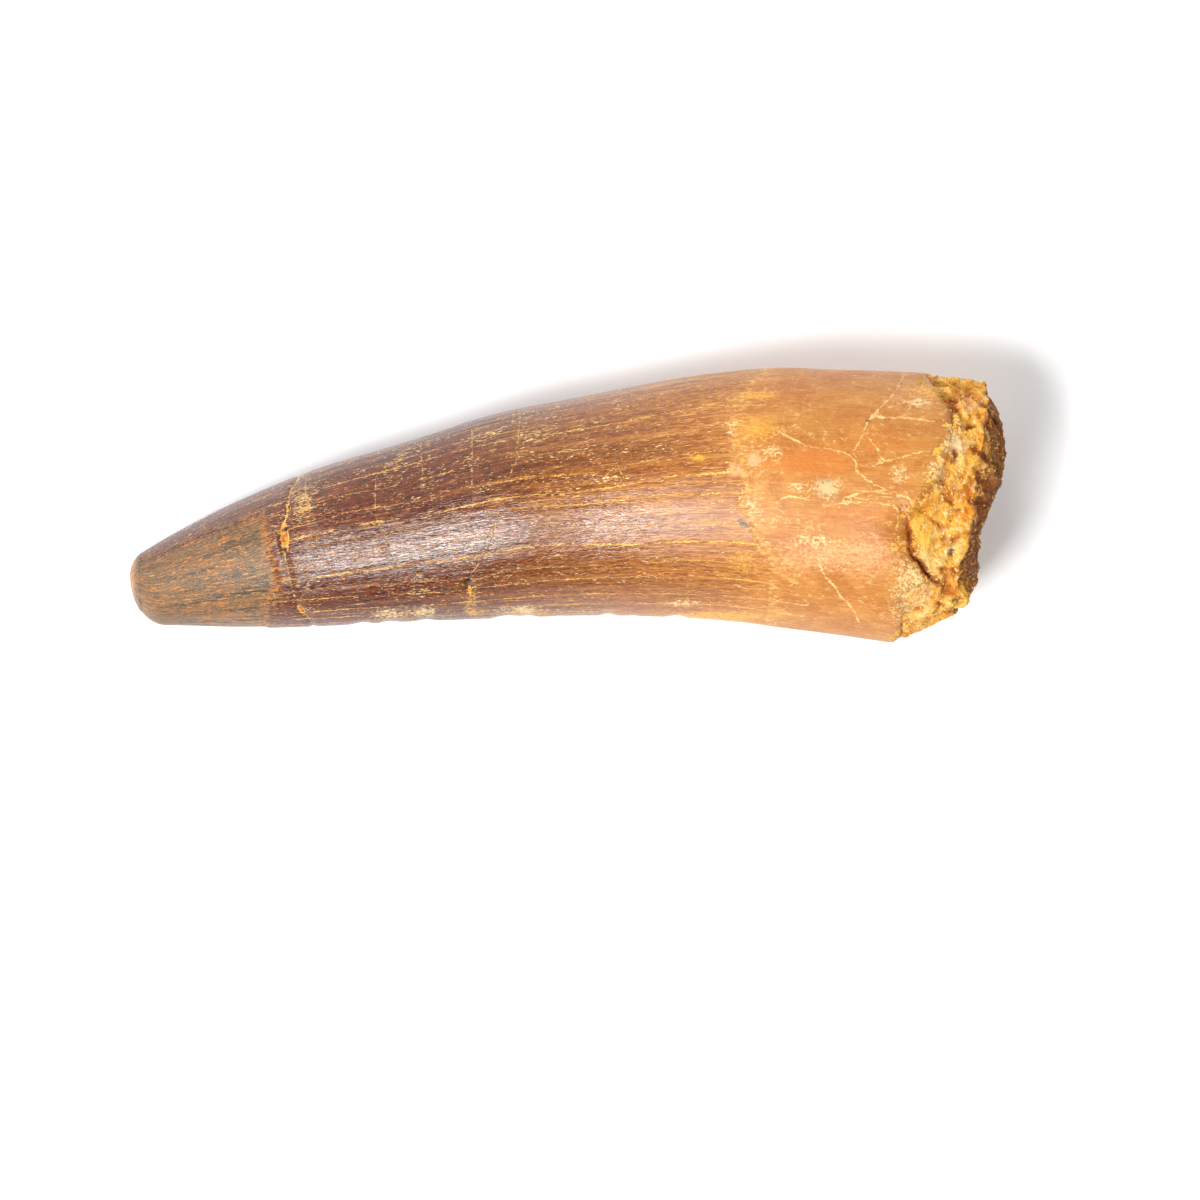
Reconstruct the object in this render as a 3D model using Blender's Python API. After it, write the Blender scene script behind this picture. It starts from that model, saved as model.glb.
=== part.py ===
"""A fossil spinosaurus tooth lying on its side, at its real size, in metres with +Z up.

The worn tip points along -X and the broken root along +X. The outer, convex edge of the curve faces +Y.
The origin is the middle of the tooth's footprint, on the surface that it rests on.
The tooth is one solid: a curved cone of oval sections, closed at the root by a rough break.
"""

import math

import bmesh
import bpy
from mathutils import Vector, noise
from mathutils.geometry import delaunay_2d_cdt

MM = 0.001

# How far the tooth reaches, and the place of its tip across the tooth
TIP_X = -40.0 * MM
TIP_Y = -6.4 * MM

# The outline seen from above, in mm: place along the tooth, outer edge, inner edge.
# It runs on past the break, which cuts it off.
OUTLINE = (
    (-40.0, -5.0, -11.1),
    (-35.5, -2.4, -11.2),
    (-30.0, 0.4, -11.3),
    (-22.7, 3.4, -11.1),
    (-14.5, 5.8, -10.7),
    (-6.2, 8.4, -10.4),
    (2.0, 10.0, -10.15),
    (10.2, 11.5, -10.3),
    (15.7, 12.3, -10.7),
    (20.0, 12.6, -11.3),
    (25.0, 12.4, -11.95),
    (29.9, 12.2, -12.6),
    (36.0, 11.8, -13.1),
    (41.0, 11.2, -13.4),
)

# How far back from the tip each side of it starts to round off
OUTER_ROUND = 1.0 * MM
INNER_ROUND = 3.3 * MM
HEIGHT_ROUND = 2.2 * MM

# Height of a section as a share of its width, and how much the two cutting edges are pinched
TIP_HEIGHT_SHARE = 0.88
ROOT_HEIGHT_SHARE = 0.83
EDGE_PINCH = 0.15
EDGE_SHARPNESS = 8

# The underside: how far it dips under the surface at its lowest, which is then cut flat, and its sag
SEAT_X = 8.0 * MM
SEAT_DIP = 0.17 * MM
SEAT_HALF_LENGTH = 30.0 * MM

# The break, by angle round the section in degrees, from the outer edge over the top, in mm:
# where the smooth surface ends, where the crumbling ledge ends, and the ledge's size there as a share
BREAK = (
    (0, 33.2, 38.0, 0.965),
    (15, 32.9, 37.8, 0.96),
    (31, 33.9, 37.3, 0.95),
    (45, 34.9, 37.4, 0.92),
    (60, 34.5, 37.9, 0.90),
    (75, 33.1, 37.8, 0.89),
    (92, 30.8, 37.3, 0.88),
    (108, 31.2, 36.6, 0.88),
    (121, 32.7, 35.8, 0.88),
    (131, 30.4, 34.7, 0.87),
    (150, 30.5, 33.2, 0.85),
    (165, 30.4, 33.7, 0.80),
    (180, 29.9, 35.3, 0.75),
    (210, 31.0, 36.0, 0.80),
    (240, 33.0, 36.4, 0.86),
    (270, 34.5, 36.8, 0.90),
    (300, 35.0, 37.0, 0.92),
    (330, 34.0, 37.5, 0.95),
    (360, 33.2, 38.0, 0.965),
)

# The far outline of the broken face seen from above, in mm: place across the tooth, place along it
BROKEN_FACE = (
    (-12.5, 34.6),
    (-9.0, 36.8),
    (-8.0, 37.4),
    (-4.8, 37.45),
    (-3.0, 37.6),
    (-1.6, 37.95),
    (-0.2, 38.7),
    (2.2, 39.55),
    (5.2, 39.9),
    (7.6, 39.6),
    (10.5, 38.8),
    (12.5, 38.2),
)
FACE_ROUND_SHARE = 0.34

# Relief: long swells of the crown, chips along the inner cutting edge, and the lumps of the break
SWELL = 0.16 * MM
SWELL_LENGTH = 15.0 * MM
CHIP_DEPTH = 0.45 * MM
CHIP_LENGTH = 1.9 * MM
CHIPPED_FROM = -20.0 * MM
CHIPPED_TO = 15.0 * MM
LEDGE_STEP = 0.35 * MM
LUMP_HEIGHT = 0.62 * MM
LUMP_SIZE = 2.7 * MM
LUMP_OCTAVES = 3

# The pit where the first crack crosses the upper face
PIT_CENTRE = (-26.1 * MM, -2.9 * MM)
PIT_LENGTH = 2.3 * MM
PIT_WIDTH = 0.95 * MM
PIT_DEPTH = 0.7 * MM
PIT_LEAN = math.radians(-3.0)

# Fineness of the solid
SEGMENTS = 60
BODY_ROWS = 52
BODY_ROW_CROWDING = 1.4
LEDGE_ROWS = 6
FACE_ROWS = 10


def smooth_through(table, place):
    """The table's other columns at this place, on a smooth curve through its rows."""
    last = len(table) - 2
    row = max(0, min(last, sum(place >= entry[0] for entry in table) - 1))
    before = table[max(row - 1, 0)]
    start, end = table[row], table[row + 1]
    after = table[min(row + 2, last + 1)]
    gap = end[0] - start[0]
    t = max(0.0, min(1.0, (place - start[0]) / gap))
    found = []
    for column in range(1, len(start)):
        slope_in = (end[column] - before[column]) / (end[0] - before[0]) * gap
        slope_out = (after[column] - start[column]) / (after[0] - start[0]) * gap
        rise = end[column] - start[column]
        bend = (slope_in - rise) * (1 - t) - (slope_out - rise) * t
        found.append(start[column] + rise * t + bend * t * (1 - t))
    return found


def ease(value):
    """0 below 0, 1 above 1, and a smooth step between."""
    value = max(0.0, min(1.0, value))
    return value * value * (3 - 2 * value)


def rounding(distance, length):
    """A quarter ellipse: 0 at the tip, and 1 from this length on."""
    return math.sqrt(max(0.0, 1 - max(0.0, 1 - distance / length) ** 2))


def section(x):
    """The oval section here: its centre across, its centre's height, and its two half sizes."""
    outer, inner = (value * MM for value in smooth_through(OUTLINE, x / MM))
    along = (x - TIP_X) / (-2 * TIP_X)
    share = TIP_HEIGHT_SHARE + (ROOT_HEIGHT_SHARE - TIP_HEIGHT_SHARE) * along
    half_height = share * (outer - inner) / 2
    underside = SEAT_DIP * (((x - SEAT_X) / SEAT_HALF_LENGTH) ** 2 - 1)
    centre_height = underside + half_height
    from_tip = x - TIP_X
    outer = TIP_Y + (outer - TIP_Y) * rounding(from_tip, OUTER_ROUND)
    inner = TIP_Y + (inner - TIP_Y) * rounding(from_tip, INNER_ROUND)
    half_height *= rounding(from_tip, HEIGHT_ROUND)
    return (outer + inner) / 2, centre_height, (outer - inner) / 2, half_height


def chip(x, angle):
    """How deep the inner cutting edge is chipped here."""
    on_edge = max(0.0, -math.cos(angle)) ** 40
    along = ease((x - CHIPPED_FROM) / CHIP_LENGTH) * ease((CHIPPED_TO - x) / CHIP_LENGTH)
    depth = max(0.0, noise.noise(Vector((x / CHIP_LENGTH, 0.3, 0.7))))
    return CHIP_DEPTH * depth * on_edge * along


def on_section(x, angle, size=1.0):
    """The point at this angle round the section here, drawn in to this share of its size."""
    centre_y, centre_z, half_width, half_height = section(x)
    across = math.cos(angle)
    up = math.sin(angle) * (1 - EDGE_PINCH * abs(across) ** EDGE_SHARPNESS)
    swell_at = Vector((x / SWELL_LENGTH, across, math.sin(angle)))
    relief = SWELL * noise.noise(swell_at) - chip(x, angle)
    return Vector((
        x,
        centre_y + across * (half_width * size + relief * size),
        centre_z + up * (half_height * size + relief * size),
    ))


def lump(point):
    """Rough relief of the break, about -1 to 1."""
    return noise.fractal(point / LUMP_SIZE, 0.8, 2.1, LUMP_OCTAVES)


def break_at(angle):
    """Where the smooth surface ends, where the ledge ends, and the ledge's size there."""
    rim, lip, size = smooth_through(BREAK, math.degrees(angle))
    return rim * MM, lip * MM, size


def ledge_point(angle, share):
    """A point on the crumbling ledge, from 0 at the smooth surface's end to 1 at the lip."""
    rim, lip, size = break_at(angle)
    x = rim + (lip - rim) * share
    step = LEDGE_STEP * ease(share * 4)
    point = on_section(x, angle, 1 - (1 - size) * share ** 1.3)
    _, centre_z, half_width, _ = section(x)
    inwards = Vector((0, -math.cos(angle), -math.sin(angle)))
    rough = LUMP_HEIGHT * lump(point) * ease(share * 3)
    if math.sin(angle) < 0:
        rough = max(rough, 0.0)
    return point + inwards * (step * (1 - share) + rough)


def face_point(angle, share):
    """A point on the broken face, from 0 at the lip to 1 at its middle."""
    edge = ledge_point(angle, 1.0)
    _, lip, _ = break_at(0.0)
    centre_y, centre_z, _, _ = section(lip)
    middle = Vector((edge.x, centre_y, centre_z))
    point = edge.lerp(middle, share)
    (far,) = smooth_through(BROKEN_FACE, point.y / MM)
    point.x += (far * MM - edge.x) * ease(share / FACE_ROUND_SHARE)
    out = ease(share * 5) * LUMP_HEIGHT * min(lump(point), 0.2)
    return point + Vector((out, 0, 0))


def rings():
    """Every ring of the sides, from the tip along the tooth to the lip of the break."""
    angles = [2 * math.pi * step / SEGMENTS for step in range(SEGMENTS)]
    for row in range(1, BODY_ROWS + 1):
        share = (row / BODY_ROWS) ** BODY_ROW_CROWDING
        yield [on_section(TIP_X + (break_at(a)[0] - TIP_X) * share, a) for a in angles]
    for row in range(1, LEDGE_ROWS + 1):
        yield [ledge_point(a, row / LEDGE_ROWS) for a in angles]


def face_points():
    """Points spread evenly over the broken face, in rings that hold fewer towards its middle."""
    for row in range(1, FACE_ROWS):
        count = max(6, round(SEGMENTS * (1 - row / FACE_ROWS)))
        for step in range(count):
            yield face_point(2 * math.pi * (step + row / 2) / count % (2 * math.pi), row / FACE_ROWS)
    yield face_point(0.0, 1.0)


def close_tip(mesh, ring):
    """Joins the first ring to the tip itself."""
    tip = mesh.verts.new((TIP_X, TIP_Y, section(TIP_X)[1]))
    for first, second in zip(ring, ring[1:] + ring[:1]):
        mesh.faces.new((first, second, tip))


def close_break(mesh, lip):
    """Joins the lip and the points of the broken face into even triangles, as seen from the root end."""
    corners = lip + [mesh.verts.new(point) for point in face_points()]
    flat = [Vector((corner.co.y, corner.co.z)) for corner in corners]
    border = list(range(len(lip)))
    _, _, triangles, sources, _, _ = delaunay_2d_cdt(flat, [], [border], 1, 1e-7)
    for triangle in triangles:
        mesh.faces.new([corners[sources[index][0]] for index in triangle])


def skin():
    """The tooth's closed surface."""
    mesh = bmesh.new()
    made = [[mesh.verts.new(point) for point in ring] for ring in rings()]
    for ring, following in zip(made, made[1:]):
        for side in range(SEGMENTS):
            other = (side + 1) % SEGMENTS
            mesh.faces.new((ring[side], ring[other], following[other], following[side]))
    close_tip(mesh, made[0])
    close_break(mesh, made[-1])
    bmesh.ops.recalc_face_normals(mesh, faces=mesh.faces)
    return mesh


def cut_seat(mesh):
    """Cuts the underside off level at height 0, which leaves the flat spot that the tooth rests on."""
    everything = mesh.verts[:] + mesh.edges[:] + mesh.faces[:]
    cut = bmesh.ops.bisect_plane(
        mesh,
        geom=everything,
        plane_co=(0, 0, 0),
        plane_no=(0, 0, 1),
        clear_inner=True,
    )
    rim = [item for item in cut["geom_cut"] if isinstance(item, bmesh.types.BMEdge)]
    bmesh.ops.contextual_create(mesh, geom=rim)
    bmesh.ops.triangulate(mesh, faces=mesh.faces)


def pit_cutter():
    """The shape that hollows out the pit: a lens across the tooth, set into its upper face."""
    x, y = PIT_CENTRE
    centre_y, centre_z, half_width, half_height = section(x)
    top = centre_z + half_height * math.sqrt(1 - ((y - centre_y) / half_width) ** 2)
    bpy.ops.mesh.primitive_ico_sphere_add(subdivisions=2, location=(x, y, top))
    cutter = bpy.context.object
    cutter.name = "pit_cutter"
    cutter.scale = (PIT_WIDTH / 2, PIT_LENGTH / 2, PIT_DEPTH)
    cutter.rotation_euler.z = PIT_LEAN
    bpy.ops.object.transform_apply(location=False)
    cutter.hide_render = True
    cutter.display_type = "WIRE"
    return cutter


def fossil_enamel():
    """Brown fossil enamel with a soft shine."""
    material = bpy.data.materials.new("fossil_enamel")
    material.use_nodes = True
    shader = material.node_tree.nodes["Principled BSDF"]
    shader.inputs["Base Color"].default_value = (0.42, 0.19, 0.08, 1.0)
    shader.inputs["Roughness"].default_value = 0.42
    shader.inputs["Metallic"].default_value = 0.0
    return material


def add_tooth():
    mesh = skin()
    cut_seat(mesh)
    data = bpy.data.meshes.new("tooth")
    mesh.to_mesh(data)
    mesh.free()
    data.materials.append(fossil_enamel())
    data.shade_smooth()
    data.set_sharp_from_angle(angle=math.radians(50))
    tooth = bpy.data.objects.new("tooth", data)
    bpy.context.scene.collection.objects.link(tooth)
    pit = tooth.modifiers.new("pit", "BOOLEAN")
    pit.operation = "DIFFERENCE"
    pit.object = pit_cutter()


for leftover in list(bpy.data.objects):
    bpy.data.objects.remove(leftover)
add_tooth()
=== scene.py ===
import math

import bpy
import numpy as np
from mathutils import Euler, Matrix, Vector, noise
from mathutils.geometry import intersect_point_line


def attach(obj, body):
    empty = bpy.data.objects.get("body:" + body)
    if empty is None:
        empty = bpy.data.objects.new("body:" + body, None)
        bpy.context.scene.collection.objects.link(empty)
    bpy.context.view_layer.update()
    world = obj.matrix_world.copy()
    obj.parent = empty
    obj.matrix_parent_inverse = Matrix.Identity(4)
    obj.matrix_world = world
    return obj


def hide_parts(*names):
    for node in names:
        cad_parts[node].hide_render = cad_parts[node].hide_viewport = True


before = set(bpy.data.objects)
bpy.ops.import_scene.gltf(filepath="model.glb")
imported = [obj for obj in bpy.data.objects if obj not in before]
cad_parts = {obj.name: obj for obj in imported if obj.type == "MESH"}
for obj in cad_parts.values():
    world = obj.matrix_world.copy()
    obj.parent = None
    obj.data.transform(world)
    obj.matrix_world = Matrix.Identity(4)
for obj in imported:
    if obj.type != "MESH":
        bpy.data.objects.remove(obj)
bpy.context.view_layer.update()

# Camera

# The tooth is seen from straight above, its length across the picture with the worn tip to the left.
# A long lens keeps its sides in true proportion.

MM = 0.001
CAMERA_X = 3.2 * MM
CAMERA_Y = -8.7 * MM
TOOTH_MIDDLE = 9 * MM
LENS_DISTANCE = 1500 * MM
PICTURE_WIDTH = 109.8 * MM
SENSOR_WIDTH = 36

camera = bpy.data.objects.new("camera", bpy.data.cameras.new("camera"))
camera.location = (CAMERA_X, CAMERA_Y, TOOTH_MIDDLE + LENS_DISTANCE)
camera.data.sensor_width = SENSOR_WIDTH
camera.data.lens = SENSOR_WIDTH * LENS_DISTANCE / PICTURE_WIDTH
bpy.context.scene.collection.objects.link(camera)
bpy.context.scene.camera = camera


# The tooth: blank

# A curved cone of oval sections, as it grew: enamel over the crown and bare dentine on the root.
# It is drawn ring by ring from the tip to the break, as a cage that is smoothed into a fine skin.

TIP = Vector((-40.0, -6.4, 0)) * MM
TIP_RING = 0.08 * MM
OUTLINE = (
    # place along the tooth, outer edge, inner edge, in mm
    (-40.0, -5.0, -11.1),
    (-35.5, -2.4, -11.2),
    (-30.0, 0.4, -11.3),
    (-22.7, 3.4, -11.1),
    (-14.5, 5.8, -10.7),
    (-6.2, 8.4, -10.4),
    (2.0, 10.0, -10.15),
    (10.2, 11.5, -10.3),
    (15.7, 12.3, -10.7),
    (20.0, 12.6, -11.3),
    (25.0, 12.4, -11.95),
    (29.9, 12.2, -12.6),
    (36.0, 11.8, -13.1),
    (41.0, 11.2, -13.4),
)
BREAK = (
    # angle from the outer edge over the top, end of the smooth surface, end of the ledge, its size there
    (0, 33.2, 38.3, 0.965),
    (15, 32.9, 38.4, 0.96),
    (31, 33.9, 38.4, 0.95),
    (45, 35.0, 38.1, 0.92),
    (60, 34.9, 37.7, 0.90),
    (75, 34.0, 37.4, 0.89),
    (83, 32.8, 37.2, 0.885),
    (92, 31.4, 37.0, 0.88),
    (108, 31.2, 36.4, 0.88),
    (121, 32.7, 35.8, 0.88),
    (131, 30.4, 35.9, 0.87),
    (140, 30.4, 36.5, 0.87),
    (147, 30.5, 34.6, 0.86),
    (154, 30.5, 33.2, 0.85),
    (165, 30.4, 33.7, 0.80),
    (180, 29.9, 35.3, 0.75),
    (210, 31.0, 36.0, 0.80),
    (240, 33.0, 36.4, 0.86),
    (270, 34.5, 36.8, 0.90),
    (300, 35.0, 37.0, 0.92),
    (330, 34.0, 37.5, 0.95),
    (360, 33.2, 38.3, 0.965),
)
BROKEN_FACE = (
    # place across the tooth, place along it, in mm
    (-12.5, 34.6),
    (-9.0, 36.8),
    (-8.0, 37.4),
    (-4.8, 37.45),
    (-3.0, 37.6),
    (-1.6, 37.95),
    (-0.2, 38.7),
    (2.2, 39.55),
    (5.2, 39.9),
    (7.6, 39.6),
    (10.5, 38.8),
    (12.5, 38.2),
)
# How far back from the tip each side of it starts to round off
OUTER_ROUND = 1.0 * MM
INNER_ROUND = 3.3 * MM
HEIGHT_ROUND = 2.2 * MM

# Height of a section as a share of its width, and how the underside sags to where it rests
TIP_HEIGHT_SHARE = 0.88
ROOT_HEIGHT_SHARE = 0.83
SEAT_X = 8.0 * MM
SEAT_DIP = 0.17 * MM
SEAT_HALF_LENGTH = 30.0 * MM

# The cage: its fineness, how far out its corners stay when it is smoothed, and where its ledge and
# its broken face lie before they are carved
CORNERS = 32
BODY_RINGS = 28
LEDGE_RINGS = 5
FACE_RINGS = 5
RING_CROWDING = 1.35
SMOOTHED_REACH = 0.985
CAGE_RIM = 32 * MM
CAGE_LIP = 37 * MM
CAGE_LIP_SIZE = 0.9
CAGE_FACE_GAP = 0.3 * MM
FINENESS = 3


def smooth_through(table, place):
    """The table's other columns at this place, on a smooth curve through its rows."""
    last = len(table) - 2
    row = max(0, min(last, sum(place >= entry[0] for entry in table) - 1))
    before = table[max(row - 1, 0)]
    start, end = table[row], table[row + 1]
    after = table[min(row + 2, last + 1)]
    gap = end[0] - start[0]
    t = max(0.0, min(1.0, (place - start[0]) / gap))
    found = []
    for column in range(1, len(start)):
        slope_in = (end[column] - before[column]) / (end[0] - before[0]) * gap
        slope_out = (after[column] - start[column]) / (after[0] - start[0]) * gap
        rise = end[column] - start[column]
        bend = (slope_in - rise) * (1 - t) - (slope_out - rise) * t
        found.append(start[column] + rise * t + bend * t * (1 - t))
    return found


def ease(value):
    """0 below 0, 1 above 1, and a smooth step between."""
    value = max(0.0, min(1.0, value))
    return value * value * (3 - 2 * value)


def rounding(distance, length):
    """A quarter ellipse: 0 at the tip, and 1 from this length on."""
    return math.sqrt(max(0.0, 1 - max(0.0, 1 - distance / length) ** 2))


def section(x):
    """The oval section here: its centre across, its centre's height, and its two half sizes."""
    outer, inner = (value * MM for value in smooth_through(OUTLINE, x / MM))
    along = (x - TIP.x) / (-2 * TIP.x)
    height_share = TIP_HEIGHT_SHARE + (ROOT_HEIGHT_SHARE - TIP_HEIGHT_SHARE) * along
    half_height = height_share * (outer - inner) / 2
    underside = SEAT_DIP * (((x - SEAT_X) / SEAT_HALF_LENGTH) ** 2 - 1)
    centre_height = underside + half_height
    from_tip = x - TIP.x
    outer = TIP.y + (outer - TIP.y) * rounding(from_tip, OUTER_ROUND)
    inner = TIP.y + (inner - TIP.y) * rounding(from_tip, INNER_ROUND)
    half_height *= rounding(from_tip, HEIGHT_ROUND)
    return (outer + inner) / 2, centre_height, (outer - inner) / 2, half_height


def body_place(ring, rim):
    """How far along the tooth a ring of the sides lies, where the smooth surface ends at rim."""
    start = TIP.x + TIP_RING
    return start + (rim - start) * (ring / BODY_RINGS) ** RING_CROWDING


def cage_rings():
    """Each ring of the cage: its place along the tooth and its size as a share of the section."""
    for ring in range(BODY_RINGS + 1):
        yield body_place(ring, CAGE_RIM), 1.0
    for ring in range(1, LEDGE_RINGS + 1):
        share = ring / LEDGE_RINGS
        yield CAGE_RIM + (CAGE_LIP - CAGE_RIM) * share, 1 - (1 - CAGE_LIP_SIZE) * share
    for ring in range(1, FACE_RINGS + 1):
        yield CAGE_LIP + ring * CAGE_FACE_GAP, CAGE_LIP_SIZE * (1 - ring / (FACE_RINGS + 1))


bpy.ops.object.select_all(action="DESELECT")
rings = list(cage_rings())
x, _ = rings[0]
centre_y, centre_z, half_width, half_height = section(x)
bpy.ops.mesh.primitive_circle_add(
    vertices=CORNERS,
    radius=1,
    fill_type="NGON",
    location=(x, centre_y, centre_z),
    rotation=(0, math.pi / 2, 0),
)
tooth = bpy.context.object
tooth.name = "fossil_tooth"
tooth.scale = (half_height, half_width, 1)
bpy.ops.object.transform_apply()
bpy.ops.object.mode_set(mode="EDIT")
bpy.ops.mesh.select_all(action="SELECT")
last = (x, centre_y, centre_z, half_width, half_height)
for x, share in rings[1:]:
    centre_y, centre_z, half_width, half_height = section(x)
    half_width, half_height = half_width * share, half_height * share
    bpy.ops.mesh.extrude_region_move(
        TRANSFORM_OT_translate={
            "value": (x - last[0], centre_y - last[1], centre_z - last[2])
        }
    )
    bpy.ops.transform.resize(
        value=(1, half_width / last[3], half_height / last[4]),
        center_override=(x, centre_y, centre_z),
    )
    last = (x, centre_y, centre_z, half_width, half_height)
bpy.ops.mesh.select_all(action="SELECT")
bpy.ops.mesh.normals_make_consistent(inside=False)
bpy.ops.object.mode_set(mode="OBJECT")

# Each corner of the cage keeps its ring and its direction from the tooth's middle line.
place = tooth.data.attributes.new("place", "FLOAT_VECTOR", "POINT")
for vertex in tooth.data.vertices:
    ring = min(range(len(rings)), key=lambda index: abs(rings[index][0] - vertex.co.x))
    centre_y, centre_z, half_width, half_height = section(vertex.co.x)
    across = (vertex.co.y - centre_y) / half_width
    up = (vertex.co.z - centre_z) / half_height
    reach = Vector((across, up)).normalized()
    if ring > BODY_RINGS + LEDGE_RINGS:
        reach *= 1 - (ring - BODY_RINGS - LEDGE_RINGS) / (FACE_RINGS + 1)
    place.data[vertex.index].vector = (min(ring, BODY_RINGS + LEDGE_RINGS), reach.x, reach.y)

smooth = tooth.modifiers.new("smooth", "SUBSURF")
smooth.levels = smooth.render_levels = FINENESS
bpy.ops.object.modifier_apply(modifier="smooth")


# The tooth: carving

# The fine skin is carved to the real surface: long swells, a chipped cutting edge, pits, a cracked
# and worn tip, and the rough break with its crumbling ledge. It is flat only where it rests.

# The camera's picture, 1200 pixels across: the size of one in mm, and where the origin lies in it
PIXEL = 1 / 10.98
PICTURE_ORIGIN = (564.9, 504.5)

PITS = (
    # place in the picture, half length and half width in mm, lean in degrees, depth in mm, shade-painted
    # hole or not
    (284, 536, 1.2, 0.32, -84, 0.55, False),
    (285, 528, 0.28, 0.2, -84, 0.3, True),
    (284, 549, 0.26, 0.2, -84, 0.3, True),
    (287, 506, 0.33, 0.18, -80, 0.3, False),
    (288, 505, 0.16, 0.1, -80, 0.1, True),
    (300, 610, 0.42, 0.22, -50, 0.3, False),
    (468, 583, 0.46, 0.27, -70, 0.6, True),
    (469, 588, 0.7, 0.14, -80, 0.12, False),
    (307, 507, 0.22, 0.16, 0, 0.12, False),
)
MAIN_CRACK = (
    (300, 470), (293, 484), (289, 490), (287, 506), (286, 515), (283, 523), (281, 531), (280, 541),
    (283, 550), (285, 560), (287, 569), (291, 589), (294, 598), (300, 610), (306, 617), (312, 626),
)
SIDE_CRACKS = (
    ((305, 470), (304, 488), (306, 497), (303, 506), (296, 508), (289, 508)),
    ((314, 529), (316, 539)),
    ((375, 478), (375, 516), (384, 535), (390, 555), (403, 568), (429, 579)),
    ((420, 445), (423, 478)),
    ((472, 430), (472, 480)),
    ((521, 405), (516, 461), (510, 476)),
    ((499, 513), (493, 533), (487, 550), (478, 565), (472, 573)),
    ((616, 461), (623, 477), (627, 484)),
    ((905, 371), (903, 380), (896, 388), (890, 393)),
    ((132, 577), (141, 577), (150, 575)),
)
OVERHANG = (
    (907, 524), (910, 537), (909, 547), (913, 556), (920, 562), (924, 570), (930, 577), (938, 582),
)
ROOT_SEAMS = (
    ((762, 424), (778, 431), (787, 437), (796, 440), (804, 446), (813, 447), (830, 450), (844, 453),
     (852, 452), (857, 446), (862, 434), (866, 423), (872, 417), (879, 409), (887, 401), (895, 392),
     (901, 381), (905, 372)),
    ((844, 453), (849, 456), (854, 460), (855, 467), (857, 473), (862, 477), (868, 482), (880, 488),
     (895, 493), (904, 497), (910, 502)),
    ((873, 416), (886, 418), (899, 418), (914, 419), (928, 421), (942, 424), (954, 424)),
    ((866, 436), (871, 443), (877, 449), (878, 454), (881, 460)),
    ((875, 465), (887, 461), (899, 458), (911, 455), (919, 453)),
    ((726, 416), (733, 424), (737, 433), (731, 441), (734, 449), (728, 455), (736, 461)),
    ((738, 494), (747, 499), (762, 502), (774, 499), (789, 497), (806, 499)),
    ((741, 512), (757, 515), (771, 511), (782, 513)),
    ((818, 560), (821, 570), (828, 580), (835, 588), (842, 598), (852, 608), (858, 620)),
    ((845, 498), (858, 494), (870, 492), (888, 494), (905, 497)),
    ((826, 506), (850, 503), (876, 503), (894, 506), (898, 514), (896, 526)),
    ((785, 480), (792, 484), (797, 491), (805, 494), (809, 490)),
    ((752, 545), (760, 551), (768, 560), (766, 570), (758, 583), (764, 592), (765, 604), (768, 618)),
)
STAINS = {
    # place in the picture, half width and half height in pixels, how much
    "cloudy": (
        (303, 503, 15, 17, 0.9), (282, 524, 4, 22, 0.5), (300, 592, 20, 22, 0.3),
        (474, 592, 12, 22, 0.6), (420, 590, 30, 10, 0.4), (400, 616, 34, 7, 0.5),
        (515, 613, 24, 7, 0.5), (565, 613, 40, 5, 0.7), (524, 440, 12, 34, 0.42),
        (562, 444, 26, 16, 0.3), (545, 430, 18, 10, 0.3), (487, 434, 16, 6, 0.7),
        (605, 477, 18, 6, 0.6), (550, 494, 12, 8, 0.5), (395, 470, 22, 14, 0.25),
    ),
    "cream": (
        (382, 616, 16, 6, 0.36), (405, 612, 26, 6, 0.33), (428, 612, 13, 6, 0.34),
        (512, 611, 20, 6, 0.38), (531, 609, 14, 5, 0.34), (683, 603, 22, 4, 0.45),
        (796, 487, 12, 7, 0.45), (815, 541, 27, 6, 0.5), (899, 474, 11, 10, 0.4),
        (747, 501, 10, 9, 0.40), (757, 516, 10, 10, 0.34), (731, 428, 6, 13, 0.5),
        (919, 403, 12, 5, 0.7), (955, 446, 11, 13, 1.0), (936, 472, 12, 12, 0.6),
        (914, 592, 24, 36, 0.62), (935, 560, 14, 14, 0.35), (772, 454, 14, 8, 0.42),
    ),
    "gold": (
        (470, 600, 6, 16, 0.45), (480, 612, 14, 4, 0.5), (750, 424, 22, 12, 0.42),
        (762, 434, 20, 10, 0.42), (698, 458, 9, 3, 1.0), (922, 528, 16, 30, 0.9),
        (762, 395, 22, 5, 0.7), (742, 560, 16, 12, 0.5), (940, 390, 34, 9, 0.8),
        (720, 616, 60, 5, 0.8), (968, 590, 9, 11, 1.2),
    ),
    "dark": (
        (740, 521, 4, 2.6, 1.6), (745, 525, 4, 2.6, 1.6), (868, 421, 2.6, 2.2, 1.6),
        (824, 480, 17, 4, 0.66), (839, 497, 7, 6, 0.62), (755, 428, 20, 10, 0.5),
        (712, 391, 10, 9, 0.6), (956, 600, 8, 9, 1.0), (950, 553, 6, 6, 1.0),
        (955, 510, 8, 8, 0.8), (934, 384, 2.5, 2, 1.5), (956, 384, 3, 2, 1.3),
    ),
    "pink": (
        (970, 402, 18, 8, 0.9), (802, 557, 28, 20, 0.6), (865, 556, 44, 20, 0.65),
        (754, 460, 7, 8, 1.2), (735, 470, 7, 7, 0.9), (915, 400, 30, 18, 0.4),
    ),
    "rust": (
        (812, 462, 42, 15, 0.9), (850, 516, 50, 10, 0.6), (880, 440, 36, 12, 0.5),
        (800, 385, 60, 14, 0.35), (760, 590, 8, 30, 0.3),
    ),
    "grey": (
        (819, 486, 12, 8, 0.52), (834, 484, 12, 8, 0.46), (829, 495, 11, 8, 0.50),
        (899, 474, 8, 8, 0.5),
    ),
}
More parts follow.
